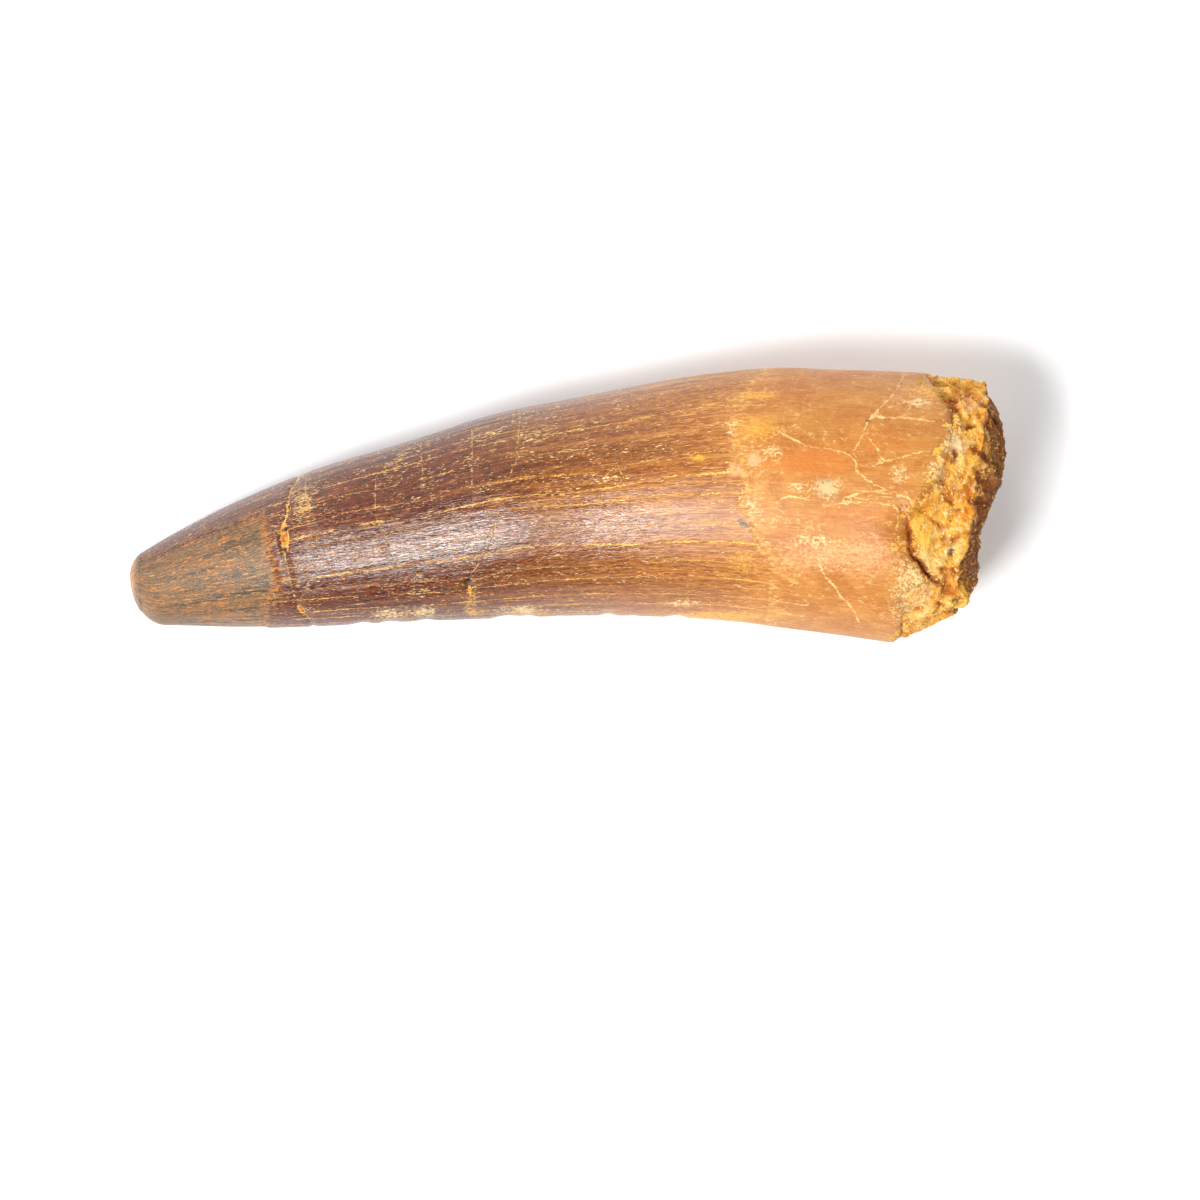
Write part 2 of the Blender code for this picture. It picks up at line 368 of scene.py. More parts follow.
WORN_EDGE = (
    (141, 557), (165, 551), (184, 542), (220, 529), (241, 520), (250, 516), (266, 519), (265, 524),
    (267, 533), (267, 546), (270, 552), (271, 559), (274, 569), (276, 575), (278, 584), (277, 590),
    (266, 612), (264, 660), (90, 660), (90, 557),
)
CROWN_END = (
    # place across the picture's height, place along it
    (340, 775), (368, 763), (388, 741), (405, 727), (430, 733), (461, 732), (479, 743), (496, 737),
    (531, 754), (548, 754), (570, 767), (589, 763), (620, 765), (660, 770),
)
CROWN_END_WANDER = 1.1
CROWN_END_WANDER_SIZE = 2.1 * MM
LANES_PAST_CROWN = 4

# Growth lines of the crown: how many there are round it, and how they wander, stray and fade
LANES = 34
LANE_WANDER = 0.35
LANE_WANDER_LENGTH = 11
LANE_SHIFT = 0.5
LANE_STRENGTH = 0.75
LANE_STRENGTH_SPREAD = 0.8

# Relief of the sides: the pinched cutting edges, long swells, and chips along the inner edge
EDGE_PINCH = 0.15
EDGE_SHARPNESS = 8
KEEL_SHARPNESS = 100
SWELL = 0.16 * MM
SWELL_LENGTH = 15 * MM
CHIP_DEPTH = 0.45 * MM
CHIP_LENGTH = 1.9
CHIPPED_EDGE_SHARPNESS = 40
CHIPPED_FROM = -20
CHIPPED_TO = 15

# The crumbling stone: heights in mm and sizes of its lumps, caves, grit and ragged rim
LUMP_HEIGHT = 0.62
LUMP_SIZE = 2.7 * MM
CAVE_DEPTH = 1.5
CAVE_SIZE = 1.2 * MM
CAVE_LEVEL = 0.16
GRIT_HEIGHT = 0.28
GRIT_SIZE = 0.95 * MM
RIM_WANDER = 0.35
RIM_WANDER_SIZE = 1.6 * MM
RIM_RADIUS = 11 * MM
LEDGE_STEP = 0.35
FACE_MIDDLE = 38 * MM
FACE_ROUND_SHARE = 0.30

# Grooves: how deep they are and how far to each side they reach, in mm
WORN_STEP = (0.13, 0.35)
WORN_WANDER = 0.25
WORN_WANDER_SIZE = 1.3 * MM
MAIN_GROOVE = (0.12, 0.4)
SIDE_GROOVE = (0.03, 0.35)
OVERHANG_GROOVE = (0.8, 0.55)
UNDER_OVERHANG = (0.5, 3.0)

# Half widths of the drawn lines, and where the main crack thins out, in mm
MAIN_CRACK_LINE = 0.08
MAIN_CRACK_THINS = -4.5
CRACK_LINE = 0.04
SEAM_LINE = 0.075
LANE_LINE = 0.04

# Which stretch of the tooth each kind of mark is looked for on, in mm along it
RELIEF_FROM = -39
WORN_TO = -24
MAIN_CRACK_TO = -22
SIDE_CRACKS_TO = 34
SIDE_CRACK_REACH = 7
ROOT_SEAMS_FROM = 8
PITS_TO = 0
OVERHANG_FROM = 27
UPPER_SIDE = -0.35

# The grain's radius round the tooth in mm, and the half width below which it narrows to the tip
GRAIN_RADIUS = 12
GRAIN_TAPER = 2.4 * MM

# What a distance is, in mm, where no mark is near
FAR_OFF = 9.0


def from_picture(point):
    """A place in the picture, which is 1200 across, as a place on the tooth seen from above, in mm."""
    return Vector((point[0] - PICTURE_ORIGIN[0], PICTURE_ORIGIN[1] - point[1])) * PIXEL


def side_of_line(point, line):
    """Distance to a line of points, and the same distance signed by its side of the line, in mm."""
    nearest, signed = 99.0, 99.0
    for start, end in zip(line, line[1:]):
        foot, share = intersect_point_line(point, start, end)
        foot = start if share < 0 else end if share > 1 else foot.to_2d()
        distance = (point - foot).length
        if distance < nearest:
            nearest = distance
            turn = (end - start).cross(point - start)
            signed = math.copysign(distance, turn)
    return nearest, signed


def inside(point, outline):
    """Whether the point is inside the closed outline."""
    found = False
    for start, end in zip(outline, outline[1:] + outline[:1]):
        if (start.y > point.y) != (end.y > point.y):
            crossing = start.x + (point.y - start.y) / (end.y - start.y) * (end.x - start.x)
            found ^= point.x < crossing
    return found


def rough(point, size, octaves):
    """Rough relief, about -1 to 1, with lumps of this size."""
    return noise.fractal(point / size, 0.8, 2.1, octaves)


def groove(near, size, start=0.0):
    """How deep a groove of this depth and reach is, this far from its middle."""
    depth, reach = size
    return depth * (1 - ease(near / reach + start))


def on_section(x, angle, size=1.0):
    """The point at this angle round the section here, drawn in to this share of its size."""
    centre_y, centre_z, half_width, half_height = section(x)
    across = math.cos(angle)
    up = math.sin(angle) * (1 - EDGE_PINCH * abs(across) ** EDGE_SHARPNESS)
    relief = SWELL * noise.noise(Vector((x / SWELL_LENGTH, across, math.sin(angle))))
    on_edge = max(0.0, -across) ** CHIPPED_EDGE_SHARPNESS
    along = ease((x / MM - CHIPPED_FROM) / CHIP_LENGTH) * ease((CHIPPED_TO - x / MM) / CHIP_LENGTH)
    chips = max(0.0, noise.noise(Vector((x / (CHIP_LENGTH * MM), 0.3, 0.7))))
    relief -= CHIP_DEPTH * chips * on_edge * along
    return Vector((
        x,
        centre_y + across * (half_width * size + relief * size),
        centre_z + up * (half_height * size + relief * size),
    ))


def crumbling(point, lumpy, grainy):
    """Relief of the crumbling stone, in mm: positive is deeper."""
    lumps = LUMP_HEIGHT * rough(point, LUMP_SIZE, 3)
    caves = CAVE_DEPTH * max(0.0, noise.noise(point / CAVE_SIZE + Vector((9, 9, 9))) - CAVE_LEVEL)
    fine = GRIT_HEIGHT * rough(point, GRIT_SIZE, 4)
    return lumps * lumpy + (caves + fine) * grainy


def ledge_point(angle, share):
    """A point on the crumbling ledge, from 0 at the smooth surface's end to 1 at the lip, and its relief."""
    rim, lip, size = smooth_through(BREAK, math.degrees(angle))
    on_rim = Vector((0.01, math.cos(angle) * RIM_RADIUS, math.sin(angle) * RIM_RADIUS))
    wander = RIM_WANDER * rough(on_rim, RIM_WANDER_SIZE, 3)
    x = (rim + (lip - rim + wander) * share) * MM
    point = on_section(x, angle, 1 - (1 - size) * share ** 1.3)
    inwards = Vector((0, -math.cos(angle), -math.sin(angle)))
    relief = crumbling(point, ease(share * 3), ease(share * 9))
    if math.sin(angle) < 0:
        relief = max(relief, 0.0)
    relief *= 0.4 + 0.6 * ease(abs(math.sin(angle)) * 2.2)
    drop = LEDGE_STEP * ease(share * 14) * (1 - share)
    return point + inwards * (drop + relief) * MM, relief


def face_point(angle, share):
    """A point on the broken face, from 0 at the lip to 1 at its middle, and its relief."""
    edge, relief = ledge_point(angle, 1.0)
    centre_y, centre_z, _, _ = section(FACE_MIDDLE)
    point = edge.lerp(Vector((edge.x, centre_y, centre_z)), share)
    (far,) = smooth_through(BROKEN_FACE, point.y / MM)
    point.x += (far * MM - edge.x) * ease(share / FACE_ROUND_SHARE)
    inside_lip = ease(share * 5)
    face_relief = crumbling(point, 0.8, 0.6)
    point.x -= face_relief * inside_lip * MM
    return point, relief + (face_relief - relief) * inside_lip


def pits_at(point):
    """How deep the pits are here, in mm, and how near the nearest pit and dark hole are: 1 is the rim."""
    depth, pit, hole = 0.0, FAR_OFF, FAR_OFF
    for x, y, half_length, half_width, lean, deep, is_hole in PITS:
        away = point - from_picture((x, y))
        lean = math.radians(lean)
        along = (away.x * math.cos(lean) + away.y * math.sin(lean)) / half_length
        across = (away.y * math.cos(lean) - away.x * math.sin(lean)) / half_width
        off = math.hypot(along, across)
        depth = max(depth, deep * (1 - ease(off * 1.6 - 0.6)))
        if is_hole:
            hole = min(hole, off)
        else:
            pit = min(pit, off)
    return depth, pit, hole


def overhang_drop(near, signed):
    """How far the surface is let down along the overhang and beside it."""
    drop = groove(near, OVERHANG_GROOVE)
    if signed < 0:
        drop += groove(near, UNDER_OVERHANG)
    return drop * MM


def line_from_picture(line):
    """A line of places in the picture as places on the tooth."""
    return [from_picture(point) for point in line]


def nearest_line(point, lines, found, half_width):
    """The side, distance and half width of the nearest line, unless the one found already is nearer."""
    for line in lines:
        near, signed = side_of_line(point, line)
        if near < found[1]:
            found = (signed, near, half_width)
    return found


def lane(x, angle):
    """The nearest growth line along the crown: how far off it is, in radians, and its strength."""
    round_tooth = Vector((x / LANE_WANDER_LENGTH, math.cos(angle) * 2, math.sin(angle) * 2))
    turn = angle / (2 * math.pi) * LANES + LANE_WANDER * noise.noise(round_tooth)
    number = math.floor(turn)
    shift = LANE_SHIFT * noise.noise(Vector((number % LANES * 3.7, 5.1, 0.5)))
    strength_noise = noise.noise(Vector((number % LANES * 5.3, 2.3, 7.7)))
    strength = LANE_STRENGTH + LANE_STRENGTH_SPREAD * strength_noise
    return (turn - number - 0.5 - shift) * 2 * math.pi / LANES, strength


main_crack = line_from_picture(MAIN_CRACK)
side_cracks = [line_from_picture(line) for line in SIDE_CRACKS]
overhang = line_from_picture(OVERHANG)
root_seams = [line_from_picture(line) for line in ROOT_SEAMS]
worn_edge = line_from_picture(WORN_EDGE)
crown_end = [(-from_picture((0, y)).y, from_picture((x, 0)).x) for y, x in CROWN_END]

skin = tooth.data
amount = len(skin.vertices)
values = np.empty(amount * 3, np.float32)
skin.attributes["place"].data.foreach_get("vector", values)
places = values.reshape(-1, 3)

points = np.empty((amount, 3))
grain = np.empty((amount, 3))
crack = np.full((amount, 3), FAR_OFF)
crust = np.full((amount, 3), FAR_OFF)
seam = np.full((amount, 3), FAR_OFF)
zones = np.empty((amount, 3))
marks = np.full((amount, 3), FAR_OFF)
hidden = np.zeros(amount)
holes = np.full(amount, FAR_OFF)
stains = {kind: np.zeros(amount) for kind in STAINS}

for index, (ring, across, up) in enumerate(places.tolist()):
    angle = math.atan2(up, across) % (2 * math.pi)
    reach = min(1.0, math.hypot(across, up) / SMOOTHED_REACH)
    rim, lip, _ = smooth_through(BREAK, math.degrees(angle))
    broken = relief = 0.0
    if ring <= BODY_RINGS:
        x = body_place(ring, rim * MM)
        point = on_section(x, angle)
        if ring == 0:
            middle = Vector((TIP.x, TIP.y, section(x)[1]))
            point = middle + Vector((
                TIP_RING * reach ** 2, (point.y - middle.y) * reach, (point.z - middle.z) * reach
            ))
    elif ring < BODY_RINGS + LEDGE_RINGS:
        point, relief = ledge_point(angle, (ring - BODY_RINGS) / LEDGE_RINGS)
    else:
        point, relief = face_point(angle, 1 - reach)
        broken = 1 - reach
    seen = Vector((point.x, point.y)) / MM
    x = seen.x

    # Relief of the sides, in mm: positive is deeper
    deep = 0.0
    worn = FAR_OFF
    if x < WORN_TO:
        worn, _ = side_of_line(seen, worn_edge + worn_edge[:1])
        worn *= -1 if inside(seen, worn_edge) else 1
        worn += WORN_WANDER * noise.noise(point / WORN_WANDER_SIZE)
        deep += groove(worn, WORN_STEP, 0.5)
    if x < MAIN_CRACK_TO:
        near, signed = side_of_line(seen, main_crack)
        crack[index] = (signed, near, MAIN_CRACK_LINE if seen.y > MAIN_CRACK_THINS else CRACK_LINE)
        deep += groove(near, MAIN_GROOVE)
    if x < SIDE_CRACKS_TO and up > UPPER_SIDE:
        beside = [line for line in side_cracks if abs(x - line[0].x) < SIDE_CRACK_REACH]
        crack[index] = nearest_line(seen, beside, crack[index], CRACK_LINE)
        if x > ROOT_SEAMS_FROM:
            seam[index] = nearest_line(seen, root_seams, seam[index], SEAM_LINE)
        if x < PITS_TO:
            pit, marks[index][0], holes[index] = pits_at(seen)
            deep += pit
        deep += groove(crack[index][1], SIDE_GROOVE) * (ring <= BODY_RINGS)
    if x > OVERHANG_FROM and up > 0:
        near, signed = side_of_line(seen, overhang)
        crust[index] = (signed, near, 0.0)
        if ring > BODY_RINGS - 2:
            point.z -= overhang_drop(near, signed)
    crust[index][2] = relief
    if ring <= BODY_RINGS and x > RELIEF_FROM:
        _, _, half_width, half_height = section(point.x)
        out = Vector((0, math.cos(angle) / half_width, math.sin(angle) / half_height)).normalized()
        point -= out * deep * MM
    if point.z < 0:
        point.z = 0.0

    end_wander = noise.noise(point / CROWN_END_WANDER_SIZE + Vector((7, 0, 0)))
    end = smooth_through(crown_end, -seen.y)[0] + CROWN_END_WANDER * end_wander
    if x < end + LANES_PAST_CROWN:
        _, _, half_width, half_height = section(point.x)
        off, strength = lane(x, angle)
        off *= (half_width + half_height) / 2 / MM
        seam[index] = (off, abs(off), LANE_LINE * strength)
    marks[index][1] = max(0.0, -across) ** KEEL_SHARPNESS
    hidden[index] = broken
    if ring <= BODY_RINGS:
        ledge = -(rim - x)
    else:
        ledge = max(0.0, (ring - BODY_RINGS) / LEDGE_RINGS) * (lip - rim)
    points[index] = point
    around = GRAIN_RADIUS * reach * min(1.0, section(point.x)[2] / GRAIN_TAPER)
    grain[index] = (x, around * math.cos(angle), around * math.sin(angle))
    zones[index] = (worn, x - end, ledge + broken * 10)

from_above = np.clip(places[:, 2] * 4 + 0.8, 0, 1)
for kind, spots in STAINS.items():
    for x, y, half_width, half_height, share in spots:
        middle = from_picture((x, y))
        off = np.hypot(
            (points[:, 0] / MM - middle.x) / (half_width * PIXEL),
            (points[:, 1] / MM - middle.y) / (half_height * PIXEL),
        )
        stains[kind] += share * np.clip(1.5 - off, 0, 1) * from_above
marks[:, 2] = stains["cloudy"]
stain = np.column_stack([stains["cream"], stains["gold"], stains["dark"]])
blush = np.column_stack([stains["pink"], hidden, holes])
rusty = np.column_stack([stains["rust"], stains["grey"], np.zeros(amount)])

skin.vertices.foreach_set("co", points.ravel())
skin.attributes.remove(skin.attributes["place"])
for name, data in (
    ("grain", grain), ("crack", crack), ("seam", seam), ("zones", zones), ("marks", marks),
    ("stain", stain), ("blush", blush), ("crust", crust), ("rusty", rusty),
):
    attribute = skin.attributes.new(name, "FLOAT_VECTOR", "POINT")
    attribute.data.foreach_set("vector", data.astype(np.float32).ravel())
skin.shade_smooth()
skin.update()


# The tooth: finish

# Enamel stained brown by the rock, glossy and finely cracked, with cream mineral in its cracks.
# The worn tip and the root are bare dentine, and sandstone clings to the broken end.

CHESTNUT_ROUGHNESS = 0.20
AMBER_ROUGHNESS = 0.44
ROOT_ROUGHNESS = 0.48
TIP_ROUGHNESS = 0.33
SANDSTONE_ROUGHNESS = 0.9
MATT_SPOTS = 0.3
ENAMEL_IOR = 1.52
WARM_SHINE = (1, 0.98, 0.94, 1)


def wire(tree, kind, inputs=(), **settings):
    """Adds a node, sets it up, and feeds its inputs: an output is linked, and a value is set."""
    node = tree.nodes.new("ShaderNode" + kind)
    for name, value in settings.items():
        setattr(node, name, value)
    for name, value in dict(inputs).items():
        if isinstance(value, bpy.types.NodeSocket):
            tree.links.new(value, node.inputs[name])
        else:
            node.inputs[name].default_value = value
    return node


def reading(tree, name):
    """The three numbers that an attribute of the skin holds."""
    source = wire(tree, "Attribute", attribute_name=name)
    return wire(tree, "SeparateXYZ", {"Vector": source.outputs["Vector"]}).outputs


def blend(tree, share, first, second, how="MIX"):
    """Two colours mixed by a share."""
    first, second = ((*shade, 1) if isinstance(shade, tuple) else shade for shade in (first, second))
    node = wire(tree, "Mix", {0: share, 6: first, 7: second}, data_type="RGBA", blend_type=how)
    return node.outputs[2]


def between(tree, share, first, second):
    """Two numbers mixed by a share."""
    return wire(tree, "Mix", {0: share, 2: first, 3: second}, data_type="FLOAT").outputs[0]


def work_out(tree, operation, first, second=0.0):
    """One sum with two numbers."""
    return wire(tree, "Math", {0: first, 1: second}, operation=operation).outputs[0]


def add_to(tree, value, more, amount):
    """The value with this amount of another one added."""
    return work_out(tree, "ADD", value, work_out(tree, "MULTIPLY", more, amount))


def overlap(tree, mask, *others):
    """Where all of these masks are."""
    for other in others:
        mask = work_out(tree, "MULTIPLY", mask, other)
    return mask


def step(tree, value, low, high, to_low=0.0, to_high=1.0):
    """A smooth step of this value from low to high."""
    inputs = {"Value": value, "From Min": low, "From Max": high, "To Min": to_low, "To Max": to_high}
    return wire(tree, "MapRange", inputs, interpolation_type="SMOOTHSTEP").outputs[0]


def cloud(tree, vector, scale, detail=3.0, roughness=0.6, warp=0.0):
    """Soft noise, from 0 to 1."""
    inputs = {
        "Vector": vector, "Scale": scale, "Detail": detail, "Roughness": roughness, "Distortion": warp
    }
    return wire(tree, "TexNoise", inputs).outputs[0]


def painted(tree, colour, layers):
    """The colour with others laid over it, each up to its share, as its pattern goes from low to high."""
    for pattern, low, high, share, paint in layers:
        colour = blend(tree, step(tree, pattern, low, high, 0, share), colour, paint)
    return colour


finish = bpy.data.materials.new("fossil_tooth")
finish.use_nodes = True
tree = finish.node_tree
tree.nodes.clear()
output = wire(tree, "OutputMaterial")
shader = wire(tree, "BsdfPrincipled")
tree.links.new(shader.outputs[0], output.inputs["Surface"])

object_place = wire(tree, "TexCoord").outputs["Object"]
grain_place = wire(tree, "Attribute", attribute_name="grain").outputs["Vector"]
along = reading(tree, "grain")[0]
crack_side, crack_near, crack_width = reading(tree, "crack")
seam_side, seam_near, seam_width = reading(tree, "seam")
worn_side, root_side, ledge_side = reading(tree, "zones")
hollow, keel, cloudy = reading(tree, "marks")
cream, gold, dark = reading(tree, "stain")
pink, broken, hole = reading(tree, "blush")
rust, grey, _ = reading(tree, "rusty")
overhang_side, overhang_near, relief = reading(tree, "crust")


def grained(lengthwise, across, offset, detail, roughness, warp=0.0):
    """Soft noise on the surface, this fine along the tooth and across it, from one part of the noise."""
    inputs = {"Vector": grain_place, "Scale": (lengthwise, across, across), "Location": offset}
    return cloud(tree, wire(tree, "Mapping", inputs).outputs[0], 1.0, detail, roughness, warp)


def threads(noise_value, middle, width):
    """Thin wandering lines, where soft noise passes this value."""
    off = work_out(tree, "ABSOLUTE", work_out(tree, "SUBTRACT", noise_value, middle))
    return step(tree, off, width * 0.3, width, 1, 0)


ragged = cloud(tree, grain_place, 2.2, 5, 0.7)
ragged_edge = work_out(tree, "SUBTRACT", ragged, 0.5)

# Enamel: chestnut, wrinkled along its length, and paler towards the root
wrinkles = grained(1.3, 5.4, (1, 1, 1), 2, 0.5, 0.9)
streaks = grained(0.07, 1.7, (0, 0, 0), 5, 0.6)
blotches = grained(0.10, 0.24, (4, 0, 0), 5, 0.65)
fibres = grained(0.32, 7.0, (5, 5, 0), 3, 0.6)
# Each brown is paler on the wrinkles' ridges and darker in their valleys, in step with their bump: partly
# painted light and shade
chestnut = painted(tree, (0.0331, 0.0042, 0.000966), (
    # pattern, where it starts to show, where it shows in full, share, colour
    (wrinkles, 0.34, 0.68, 1, (0.158, 0.0293, 0.00515)),
    (streaks, 0.54, 0.68, 0.5, (0.198, 0.0489, 0.0103)),
    (streaks, 0.47, 0.34, 0.65, (0.0331, 0.00489, 0.00129)),
))
amber = painted(tree, (0.237, 0.0578, 0.00537), (
    (wrinkles, 0.36, 0.66, 1, (0.458, 0.169, 0.0255)),
    (streaks, 0.54, 0.70, 0.4, (0.532, 0.238, 0.047)),
    (streaks, 0.47, 0.34, 0.4, (0.222, 0.0578, 0.00805)),
    (fibres, 0.52, 0.64, 0.5, (0.547, 0.26, 0.0537)),
    (fibres, 0.46, 0.36, 0.5, (0.222, 0.0542, 0.00671)),
))
honey = painted(tree, (0.384, 0.126, 0.0134), (
    (wrinkles, 0.36, 0.66, 1, (0.532, 0.224, 0.0376)),
    (fibres, 0.52, 0.64, 0.5, (0.577, 0.289, 0.057)),
    (fibres, 0.46, 0.36, 0.45, (0.341, 0.101, 0.0108)),
))
amber_share = add_to(tree, add_to(tree, along, blotches, 18), streaks, 12)
enamel = painted(tree, chestnut, (
    (amber_share, 1, 33, 1, amber),
    (amber_share, 24, 38, 0.8, honey),
))

# Cream flecks, crowded in patches
fleck_field = grained(0.30, 0.9, (11, 3, 0), 4, 0.7)
flecks = grained(2.2, 8.0, (0, 0, 0), 3, 0.6)
fleck_level = add_to(tree, add_to(tree, flecks, fleck_field, 0.42), cloudy, 0.10)
fleck_mask = step(tree, fleck_level, 0.845, 0.870)
fleck_colour = painted(tree, (0.68, 0.32, 0.055), (
    (cloud(tree, grain_place, 1.6), 0.42, 0.58, 1, (0.82, 0.60, 0.28)),
    (cloudy, 0.8, 1.2, 1, (0.88, 0.72, 0.42)),
))
enamel = blend(tree, overlap(tree, fleck_mask, 0.95), enamel, fleck_colour)

# Gold lines along the crown, and a gold keel
breaks = grained(0.32, 1.5, (0, 9, 4), 6, 0.75)
hairlines = grained(0.022, 1.3, (0, 7, 2), 2, 0.5)
on_crown = step(tree, along, -31, -25)
hairline_mask = overlap(tree, threads(hairlines, 0.52, 0.006), step(tree, breaks, 0.48, 0.58), on_crown, 0.9)
enamel = blend(tree, hairline_mask, enamel, (0.78, 0.40, 0.080))
keel_mask = overlap(
    tree, step(tree, keel, 0.1, 0.5), step(tree, streaks, 0.46, 0.58), step(tree, along, -24, -12)
)
enamel = blend(tree, keel_mask, enamel, (0.74, 0.38, 0.070))

# Bare dentine of the worn tip
tip_grit = grained(4.5, 6.0, (0, 0, 0), 2, 0.6)
tip_specks = grained(1.8, 2.6, (0, 0, 0), 5, 0.8)
tip_flecks = grained(1.0, 2.9, (9, 2, 2), 3, 0.75)
tip_streaks = grained(0.11, 0.95, (3, 3, 3), 5, 0.7)
tip_patches = grained(0.3, 0.25, (3, 8, 3), 4, 0.6)
tip = painted(tree, (0.129, 0.0671, 0.0235), (
    (tip_patches, 0.40, 0.62, 1, (0.198, 0.0843, 0.0252)),
    (tip_streaks, 0.51, 0.41, 0.95, (0.0292, 0.0181, 0.00924)),
    (tip_streaks, 0.54, 0.66, 0.7, (0.292, 0.129, 0.0386)),
    (tip_grit, 0.48, 0.34, 0.85, (0.0344, 0.0258, 0.0151)),
    (tip_grit, 0.55, 0.64, 0.6, (0.361, 0.215, 0.084)),
    (tip_specks, 0.46, 0.36, 0.75, (0.0602, 0.0464, 0.0269)),
    (tip_flecks, 0.58, 0.62, 0.95, (0.56, 0.19, 0.022)),
    (tip_specks, 0.62, 0.67, 0.85, (0.60, 0.33, 0.11)),
))
edge_glow = overlap(
    tree, step(tree, worn_side, -1.1, -0.1), step(tree, tip_specks, 0.46, 0.56), step(tree, along, -31, -28)
)
tip = blend(tree, overlap(tree, edge_glow, 0.85), tip, (0.52, 0.175, 0.026))
end_grit = cloud(tree, object_place, 1500, 5, 0.75)
end_colour = painted(tree, (0.46, 0.18, 0.034), (
    (end_grit, 0.46, 0.40, 1, (0.10, 0.052, 0.022)),
    (end_grit, 0.56, 0.62, 1, (0.60, 0.33, 0.11)),
))
tip = painted(tree, tip, ((add_to(tree, along, end_grit, 2.4), -38.20, -38.50, 0.9, end_colour),))

# Root: orange dentine with a pale net
root_patches = grained(0.16, 0.28, (8, 2, 0), 8, 0.72, 0.8)
root_lines = grained(0.35, 6.0, (2, 2, 9), 4, 0.65)
root_spots = grained(1.5, 2.4, (2, 8, 1), 6, 0.75)
root_fibres = grained(0.7, 7.5, (4, 2, 9), 3, 0.6)
root_mottle = grained(3.2, 4.6, (4, 4, 1), 4, 0.8)
root = painted(tree, (0.416, 0.127, 0.011), (
    (root_patches, 0.38, 0.60, 1, (0.52, 0.203, 0.026)),
    (root_patches, 0.56, 0.68, 0.6, (0.592, 0.275, 0.0535)),
    (root_lines, 0.50, 0.78, 0.45, (0.608, 0.283, 0.0535)),
    (root_lines, 0.46, 0.30, 0.45, (0.36, 0.107, 0.0115)),
    (root_spots, 0.52, 0.72, 0.5, (0.625, 0.329, 0.0764)),
    (root_spots, 0.46, 0.28, 0.5, (0.352, 0.104, 0.0115)),
    (root_fibres, 0.48, 0.34, 0.35, (0.352, 0.104, 0.00996)),
    (root_fibres, 0.54, 0.70, 0.35, (0.64, 0.321, 0.0764)),
    (root_mottle, 0.44, 0.32, 0.25, (0.368, 0.115, 0.0153)),
    (root_mottle, 0.56, 0.66, 0.45, (0.656, 0.367, 0.115)),
))
net = grained(0.18, 0.28, (1, 4, 3), 7, 0.7, 1.0)
net_mask = overlap(tree, threads(net, 0.5, 0.014), step(tree, root_spots, 0.46, 0.60), 0.65)
root = blend(tree, net_mask, root, (0.818, 0.552, 0.216))
rim_band = overlap(tree, step(tree, root_side, -0.6, 0.2), step(tree, root_side, 2.4, 0.4))
rim_mask = overlap(tree, rim_band, step(tree, root_spots, 0.45, 0.62), 0.7)
root = blend(tree, rim_mask, root, (0.8, 0.478, 0.126))
root = blend(tree, 1.0, root, (0.94, 0.94, 0.95), "MULTIPLY")

# Sandstone, which the loose grains share
sandstone = bpy.data.node_groups.new("sandstone", "ShaderNodeTree")
sandstone.interface.new_socket("Place", in_out="INPUT", socket_type="NodeSocketVector")
sandstone.interface.new_socket("Colour", in_out="OUTPUT", socket_type="NodeSocketColor")
sandstone.interface.new_socket("Height", in_out="OUTPUT", socket_type="NodeSocketFloat")
given = sandstone.nodes.new("NodeGroupInput").outputs["Place"]
result = sandstone.nodes.new("NodeGroupOutput")
patches = cloud(sandstone, given, 340, 8, 0.74, 0.6)
lumps = cloud(sandstone, given, 1100, 6, 0.74)
specks = cloud(sandstone, given, 1700, 2, 0.5)
cells = wire(sandstone, "TexVoronoi", {"Vector": given, "Scale": 3000.0, "Randomness": 1.0})
cell_middle = cells.outputs["Distance"]
cell_tone = wire(sandstone, "SeparateXYZ", {"Vector": cells.outputs["Color"]}).outputs[0]
sand = painted(sandstone, (0.86, 0.30, 0.014), (
    (patches, 0.38, 0.58, 1, (0.95, 0.52, 0.075)),
    (patches, 0.57, 0.63, 0.75, (0.90, 0.68, 0.34)),
    (lumps, 0.45, 0.34, 0.7, (0.55, 0.140, 0.006)),
    (cell_middle, 0.5, 1.0, 0.22, (0.52, 0.17, 0.012)),
    (cell_tone, 0.30, 0.0, 0.55, (0.55, 0.15, 0.006)),
    (cell_tone, 0.70, 1.0, 0.60, (0.93, 0.70, 0.36)),
    (specks, 0.73, 0.76, 1, (0.06, 0.035, 0.02)),
))
sandstone.links.new(sand, result.inputs["Colour"])
grit = work_out(sandstone, "MULTIPLY", cell_middle, -0.12)
sandstone.links.new(add_to(sandstone, grit, lumps, 0.8), result.inputs["Height"])
stone = wire(tree, "Group", node_tree=sandstone)
tree.links.new(object_place, stone.inputs["Place"])

# Where each one shows
chips = grained(2.0, 3.4, (5, 1, 8), 4, 0.8)
crumbled = grained(0.55, 0.75, (0, 0, 6), 6, 0.75)
stain_texture = grained(2.6, 3.6, (6, 6, 6), 5, 0.85)
root_mask = step(tree, add_to(tree, root_side, ragged_edge, 4), -0.3, 0.3)
tip_level = work_out(tree, "ADD", worn_side, step(tree, chips, 0.36, 0.64, -0.8, 0.8))
tip_mask = step(tree, tip_level, -0.03, 0.05, 1, 0)
sand_level = work_out(tree, "ADD", ledge_side, step(tree, crumbled, 0.42, 0.62, -0.9, 1.5))
sand_mask = step(tree, sand_level, -0.1, 0.2)
surface = blend(tree, tip_mask, blend(tree, root_mask, enamel, root), tip)


